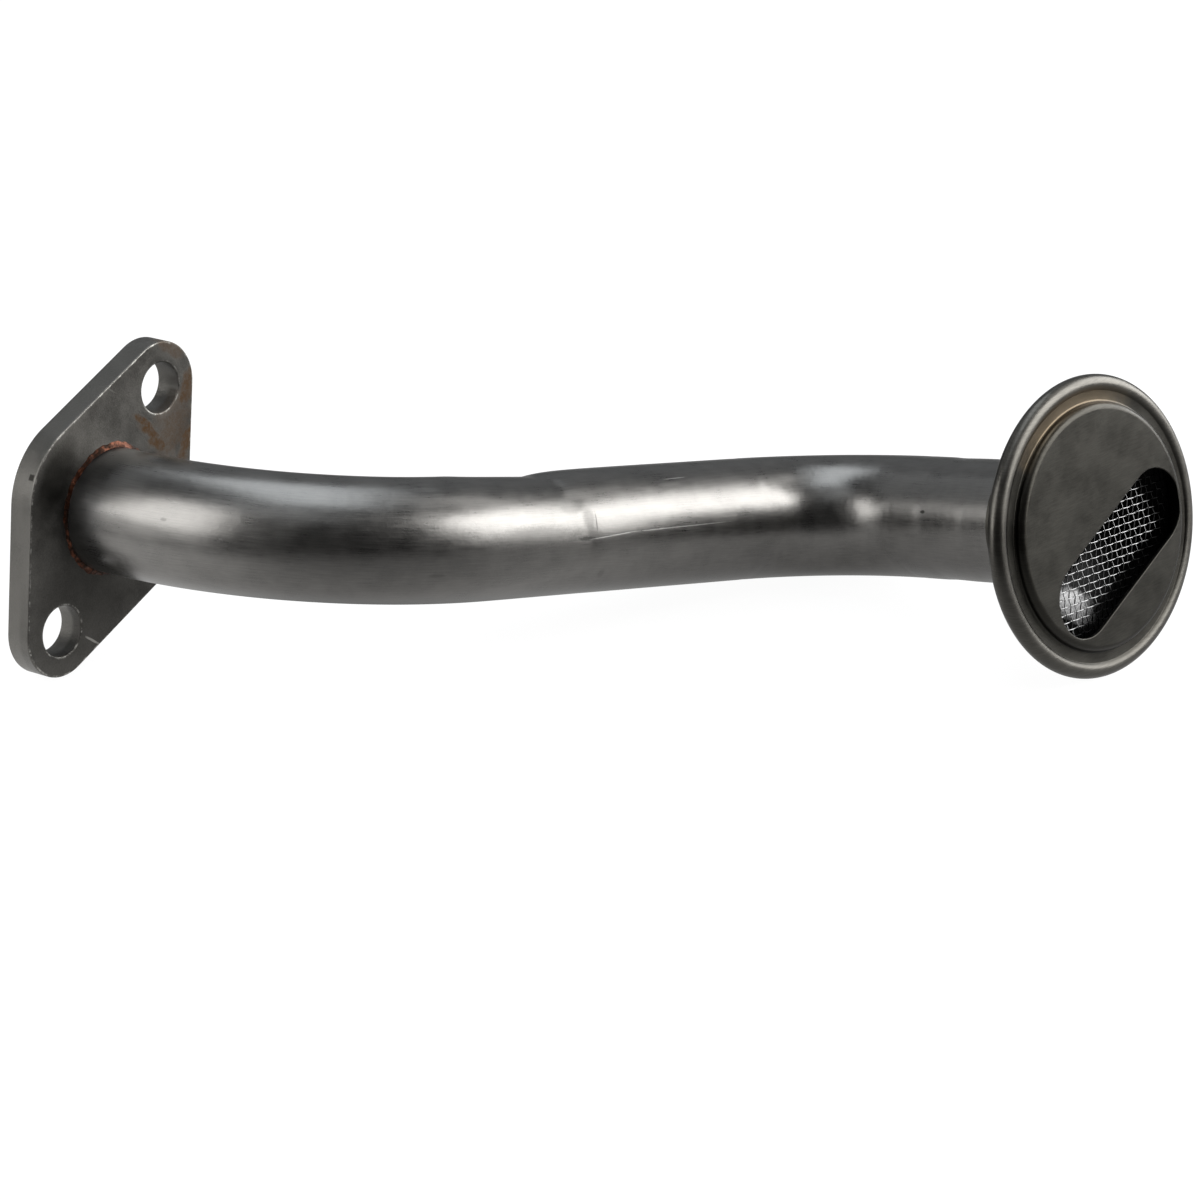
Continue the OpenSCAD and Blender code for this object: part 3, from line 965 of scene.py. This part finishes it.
class PICKUP_OT_braze(bpy.types.Operator):
    """Runs the uneven copper fillet round the tube at the flange"""
    bl_idname = "pickup.run_braze"
    bl_label = "Braze"
    columns = 289
    arch_points = 8
    sunk = 0.05 * MM
    hollow = 0.287
    lag = 17
    waves = (
        # waves round the tube, height, start
        (2, 0.30, 0.6),
        (5, 0.22, 2.0),
        (11, 0.16, 1.0),
        (23, 0.12, 0.0),
        (41, 0.10, 0.4),
    )

    def leg(self, uneven, middle, swing, least, most):
        """A leg of the fillet round the tube, as shares of its widest."""
        return settings("pickup_flange").braze_leg * np.clip(middle + swing * uneven, least, most)

    def execute(self, context):
        thickness = settings("pickup_flange").thickness
        tube_r = settings("pickup_tube").outer_d / 2
        columns = np.linspace(0, FULL_TURN, self.columns)
        uneven = sum(height * np.sin(count * columns[:-1] + start) for count, height, start in self.waves)
        wide = self.leg(uneven, middle=0.5, swing=0.4, least=0.25, most=0.9)
        rise = self.leg(np.roll(uneven, self.lag), middle=0.38, swing=0.25, least=0.2, most=0.65)
        rows = [(tube_r - self.sunk, thickness - self.sunk)]
        for a in np.linspace(0, QUARTER, self.arch_points):
            bulge = 1 - self.hollow * math.sin(2 * a)
            rows.append((tube_r + wide * math.cos(a) * bulge, thickness + rise * math.sin(a) * bulge))
        mesh = ring_mesh("braze_fillet", rows, columns, tube_r)
        link_piece("braze_fillet", mesh, "flange_braze", copper_braze())
        return {"FINISHED"}


class PICKUP_OT_seal(bpy.types.Operator):
    """Sets the rubber ring on the spigot, with the mould line round its outside"""
    bl_idname = "pickup.seat_seal"
    bl_label = "Sealing ring"
    columns = 193
    section_steps = 36
    flash = 0.06 * MM
    flash_angle = 0.09

    def execute(self, context):
        plate = settings("pickup_flange")
        section_r = plate.ring_section / 2
        middle_r = settings("pickup_tube").outer_d / 2 + plate.ring_gap + section_r
        rows = []
        for a in np.linspace(0, FULL_TURN, self.section_steps + 1)[:-1]:
            flash = self.flash * math.exp(-(min(a, FULL_TURN - a) / self.flash_angle) ** 2)
            reach = section_r - self.flash + flash
            rows.append((middle_r + reach * math.cos(a), -section_r + reach * math.sin(a)))
        mesh = ring_mesh("rubber_seal", rows, np.linspace(0, FULL_TURN, self.columns), middle_r)
        link_piece("rubber_seal", mesh, "sealing_ring", seal_rubber())
        return {"FINISHED"}


class PICKUP_OT_cover(bpy.types.Operator):
    """Presses the cover: slotted cap, brim, and the rim rolled over the housing"""
    bl_idname = "pickup.press_cover"
    bl_label = "Strainer cover"
    rim_steps = 224
    slot_steps = 24
    least_edge = 0.05 * MM

    def half_section(self, sizes):
        """The sheet's outline from the cap's upper edge over the roll to the underside of the cap."""
        roll_x = sizes.rim_d / 2 - sizes.roll_r
        brim_top = sizes.roll_r - sizes.brim_drop
        brim_low = brim_top - sizes.sheet
        face_top = brim_top + sizes.cap_h
        cap_r = sizes.cap_d / 2
        root = sizes.root_r
        inner_roll = sizes.roll_r - sizes.sheet
        inner_edge = max(sizes.cap_edge - sizes.sheet, self.least_edge)
        cap_in_r = cap_r - sizes.sheet
        meet = math.pi - math.asin(brim_top / sizes.roll_r)
        inner_meet = math.pi - math.asin(brim_low / inner_roll)
        edge_centre = (cap_r - sizes.cap_edge, face_top - sizes.cap_edge)
        in_centre = (cap_in_r - inner_edge, face_top - sizes.sheet - inner_edge)
        section = arc(edge_centre, sizes.cap_edge, QUARTER, 0, steps=10)
        section += arc((cap_r + root, brim_top + root), root, math.pi, 3 * QUARTER, steps=6)
        section += arc((roll_x, 0), sizes.roll_r, meet, -QUARTER, steps=36)
        section += [(roll_x - sizes.lip, -sizes.roll_r), (roll_x - sizes.lip, -inner_roll)]
        section += arc((roll_x, 0), inner_roll, -QUARTER, inner_meet, steps=16)
        section += [(cap_in_r, brim_low)]
        section += arc(in_centre, inner_edge, 0, QUARTER, steps=4)
        return section

    def slot_outline(self, sizes, inset):
        reach = (sizes.slot_l - sizes.slot_w) / 2
        radius = sizes.slot_w / 2 + inset
        x, y = sizes.slot_place
        outline = (arc((x + reach, y), radius, -QUARTER, QUARTER, self.slot_steps)
                   + arc((x - reach, y), radius, QUARTER, 3 * QUARTER, self.slot_steps))
        turn = Matrix.Rotation(sizes.slot_turn, 2)
        return [tuple(turn @ Vector(point)) for point in outline]

    def execute(self, context):
        sizes = settings("pickup_strainer")
        face_top = sizes.roll_r - sizes.brim_drop + sizes.cap_h
        work = bmesh.new()
        rings = [corner_ring(work, circle((0, 0), radius, self.rim_steps), level)
                 for radius, level in self.half_section(sizes)]
        bridge_rings(work, rings)
        levels = rounded_levels(face_top - sizes.sheet, face_top, sizes.slot_edge)
        slot = [corner_ring(work, self.slot_outline(sizes, inset), level) for inset, level in levels]
        bridge_rings(work, slot)
        fill_between(work, [rings[0], slot[-1]])
        fill_between(work, [rings[-1], slot[0]])
        mesh = plate_mesh("pressed_cover", work, strainer_frame())
        piece = link_piece("pressed_cover", mesh, "strainer_cover", tinted_steel())
        weigh_normals(piece)
        return {"FINISHED"}


class PICKUP_OT_screen(bpy.types.Operator):
    """Weaves the wire cloth behind the slot"""
    bl_idname = "pickup.weave_screen"
    bl_label = "Strainer screen"
    wire_sides = 6
    steps_a_pitch = 6
    flattened = 0.6 * MM

    def edge_r(self, sizes):
        return sizes.rim_d / 2 - sizes.roll_r - sizes.screen_gap

    def wire(self, sizes, index, across):
        """One wire's rings of points: it goes over and under the wires that cross it."""
        open_r = sizes.cap_d / 2 - sizes.sheet
        offset = index * sizes.wire_pitch
        half = math.sqrt(self.edge_r(sizes) ** 2 - offset ** 2)
        count = max(4, round(2 * half / sizes.wire_pitch * self.steps_a_pitch))
        along = np.linspace(-half, half, count + 1)
        flat_wave = (sizes.screen_t - sizes.wire_d) / 2
        fade = np.clip((np.hypot(along, offset) - open_r + self.flattened) / self.flattened, 0, 1)
        wave = sizes.wire_wave + (flat_wave - sizes.wire_wave) * fade
        sign = (-1) ** index * (-1 if across else 1)
        level = sign * wave * np.cos(math.pi * along / sizes.wire_pitch)
        slope = np.gradient(level, along)
        length = np.hypot(1, slope)
        angle = np.arange(self.wire_sides) * FULL_TURN / self.wire_sides
        side = sizes.wire_d / 2 * np.cos(angle)
        rise = sizes.wire_d / 2 * np.sin(angle)
        x = along[:, None] - (slope / length)[:, None] * rise
        y = offset + np.broadcast_to(side, x.shape)
        z = level[:, None] + (1 / length)[:, None] * rise
        return np.stack([-y, x, z] if across else [x, y, z], -1)

    def wire_faces(self, start, amount):
        """The faces of one wire whose points begin at start: its skin and its two ends."""
        sides = self.wire_sides
        faces = []
        for low in range(start, start + (amount - 1) * sides, sides):
            for k in range(sides):
                j = (k + 1) % sides
                faces.append((low + k, low + j, low + sides + j, low + sides + k))
        end = start + amount * sides
        return [*faces, tuple(range(start, start + sides)), tuple(range(end - sides, end))]

    def execute(self, context):
        sizes = settings("pickup_strainer")
        brim_low = sizes.roll_r - sizes.brim_drop - sizes.sheet
        count = int((self.edge_r(sizes) - sizes.wire_d) / sizes.wire_pitch)
        points = []
        weave = []
        faces = []
        start = 0
        for across in (False, True):
            for index in range(-count, count + 1):
                rings = self.wire(sizes, index, across)
                faces += self.wire_faces(start, len(rings))
                points.append(rings.reshape(-1, 3))
                weave.append(np.full((len(points[-1]), 2), float(across)))
                start += len(points[-1])
        mesh = bpy.data.meshes.new("woven_screen")
        points = np.concatenate(points)
        mesh.from_pydata(points.tolist(), [], faces)
        turn = sizes.wire_turn - sizes.slot_turn
        along_slot = np.array([[math.cos(turn), math.sin(turn)], [-math.sin(turn), math.cos(turn)]])
        flat = points[:, :2] @ along_slot
        corners = np.empty(len(mesh.loops), dtype=np.int32)
        mesh.loops.foreach_get("vertex_index", corners)
        for label, values in (("slot", flat), ("weave", np.concatenate(weave))):
            layer = mesh.uv_layers.new(name=label)
            layer.data.foreach_set("uv", values[corners].reshape(-1).astype(np.float32))
        middle = lifted(brim_low - sizes.screen_t / 2)
        mesh.transform(strainer_frame() @ middle @ Matrix.Rotation(sizes.wire_turn, 4, "Z"))
        outward(mesh, sharp_degrees=70)
        link_piece("woven_screen", mesh, "strainer_screen", screen_wire())
        return {"FINISHED"}


class PICKUP_OT_housing(bpy.types.Operator):
    """Gives the strainer's housing its pressed finish"""
    bl_idname = "pickup.finish_housing"
    bl_label = "Strainer housing"

    def execute(self, context):
        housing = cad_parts["strainer_housing"]
        housing.data.materials.clear()
        housing.data.materials.append(housing_steel_painted_light())
        return {"FINISHED"}


# Stage

MIDDLE = Vector((0, 0, 0.02))
LEFT_STAND = (-0.173, -0.1055)
LEFT_AIM = (0.72, 0.3455)
WHITE = (1.0, 1.0, 1.0)
COOL = (0.92, 0.96, 1.0)
COOLER = (0.88, 0.94, 1.0)


def around_part(azimuth, height, distance):
    """A place round the part, from angles in degrees; azimuth runs from +Y towards +X."""
    azimuth = math.radians(azimuth)
    height = math.radians(height)
    return MIDDLE + distance * Vector((
        math.sin(azimuth) * math.cos(height), math.cos(azimuth) * math.cos(height), math.sin(height)))


SOFT_BOXES = (
    # name, setting of its radiance, place, what it faces, width and height, tint, roll (degrees)
    ("side box", "side_light", around_part(82, 25, 0.8), MIDDLE, (1.1, 0.62), WHITE, -18),
    ("side flap", "flap_light", around_part(106, 46, 0.8), MIDDLE, (0.36, 0.32), WHITE, 0),
    ("upper flap", "flap_light", around_part(54, 56, 0.8), MIDDLE, (0.28, 0.22), WHITE, 0),
    ("left skirt", "skirt_light", (*LEFT_STAND, 0.04), (*LEFT_AIM, 0.04), (0.111, 0.049), WHITE, 0),
    ("left box", "left_light", (*LEFT_STAND, 0.152), (*LEFT_AIM, 0.152), (0.111, 0.175), WHITE, 0),
    ("far box", "far_light", around_part(279, 10, 1.5), MIDDLE, (0.5, 0.6), WHITE, 0),
    ("left glow", "glow_light", around_part(263, 13, 1.5), MIDDLE, (0.42, 0.5), WHITE, 0),
    ("left wall", "wall_light", around_part(305, 35, 1.4), MIDDLE, (1.0, 0.8), COOL, 0),
    ("top box", "top_light", around_part(-10, 72, 1.0), MIDDLE, (0.44, 0.92), COOLER, 0),
    ("front top", "front_light", around_part(-150, 66, 1.0), MIDDLE, (0.7, 0.35), COOL, 0),
    ("back wall", "back_light", around_part(5, 26, 1.6), MIDDLE, (2.6, 1.2), COOL, 0),
)


class PICKUP_OT_stage(bpy.types.Operator):
    """Sets the pale floor, the soft boxes and the camera"""
    bl_idname = "pickup.set_stage"
    bl_label = "Stage"
    floor_half = 4.0
    sensor_width = 36
    nearest = 0.01

    def lay_floor(self, scene):
        half = self.floor_half
        mesh = bpy.data.meshes.new("floor")
        corners = [(-half, -half, 0), (half, -half, 0), (half, half, 0), (-half, half, 0)]
        mesh.from_pydata(corners, [], [(0, 1, 2, 3)])
        mesh.materials.append(pale_floor())
        floor = bpy.data.objects.new("floor", mesh)
        scene.collection.objects.link(floor)

    def hang_box(self, scene, name, radiance, place, facing, size, tint, roll):
        """An area light at a place, facing a point; the camera doesn't see it."""
        light = bpy.data.lights.new(name, "AREA")
        light.shape = "RECTANGLE"
        light.size, light.size_y = size
        light.energy = radiance * math.pi * size[0] * size[1]
        light.color = tint
        box = bpy.data.objects.new(name, light)
        box.location = place
        turn = (Vector(place) - Vector(facing)).to_track_quat("Z", "Y")
        box.rotation_euler = (turn @ Quaternion((0, 0, 1), math.radians(roll))).to_euler()
        box.visible_camera = False
        scene.collection.objects.link(box)

    def set_camera(self, scene, stage):
        lens = bpy.data.cameras.new("camera")
        lens.lens = stage.lens
        lens.sensor_width = self.sensor_width
        lens.clip_start = self.nearest
        camera = bpy.data.objects.new("camera", lens)
        camera.location = stage.camera_place
        camera.rotation_euler = stage.camera_turn
        scene.collection.objects.link(camera)
        scene.camera = camera

    def execute(self, context):
        stage = settings("pickup_stage")
        scene = context.scene
        self.lay_floor(scene)
        for name, light, *box in SOFT_BOXES:
            self.hang_box(scene, name, getattr(stage, light), *box)
        world = bpy.data.worlds.new("room")
        world.use_nodes = True
        room = world.node_tree.nodes["Background"].inputs
        room["Strength"].default_value = stage.room
        room["Color"].default_value = rgba(WHITE)
        scene.world = world
        self.set_camera(scene, stage)
        scene.view_settings.view_transform = "Standard"
        return {"FINISHED"}


class PICKUP_PT_panel(bpy.types.Panel):
    """Lists the steps that dress the part"""
    bl_label = "Oil pickup tube"
    bl_idname = "PICKUP_PT_panel"
    bl_space_type = "VIEW_3D"
    bl_region_type = "UI"
    bl_category = "Pickup"

    def draw(self, context):
        for operator in OPERATORS:
            self.layout.operator(operator.bl_idname)


GROUPS = {
    "pickup_tube": TubeSizes,
    "pickup_kink": KinkSizes,
    "pickup_flange": FlangeSizes,
    "pickup_strainer": StrainerSizes,
    "pickup_finishes": Finishes,
    "pickup_stage": StageSizes,
}
OPERATORS = (
    PICKUP_OT_stage, PICKUP_OT_tube, PICKUP_OT_flange, PICKUP_OT_braze, PICKUP_OT_seal,
    PICKUP_OT_housing, PICKUP_OT_screen, PICKUP_OT_cover,
)
CLASSES = (*GROUPS.values(), *OPERATORS, PICKUP_PT_panel)


def register():
    for kind in CLASSES:
        bpy.utils.register_class(kind)
    for name, kind in GROUPS.items():
        setattr(bpy.types.Scene, name, PointerProperty(type=kind))


def unregister():
    for name in GROUPS:
        delattr(bpy.types.Scene, name)
    for kind in reversed(CLASSES):
        bpy.utils.unregister_class(kind)


def main():
    register()
    bpy.ops.pickup.set_stage()
    bpy.ops.pickup.draw_tube()
    bpy.ops.pickup.blank_flange()
    bpy.ops.pickup.run_braze()
    bpy.ops.pickup.seat_seal()
    bpy.ops.pickup.finish_housing()
    bpy.ops.pickup.weave_screen()
    bpy.ops.pickup.press_cover()


if __name__ == "__main__":
    main()
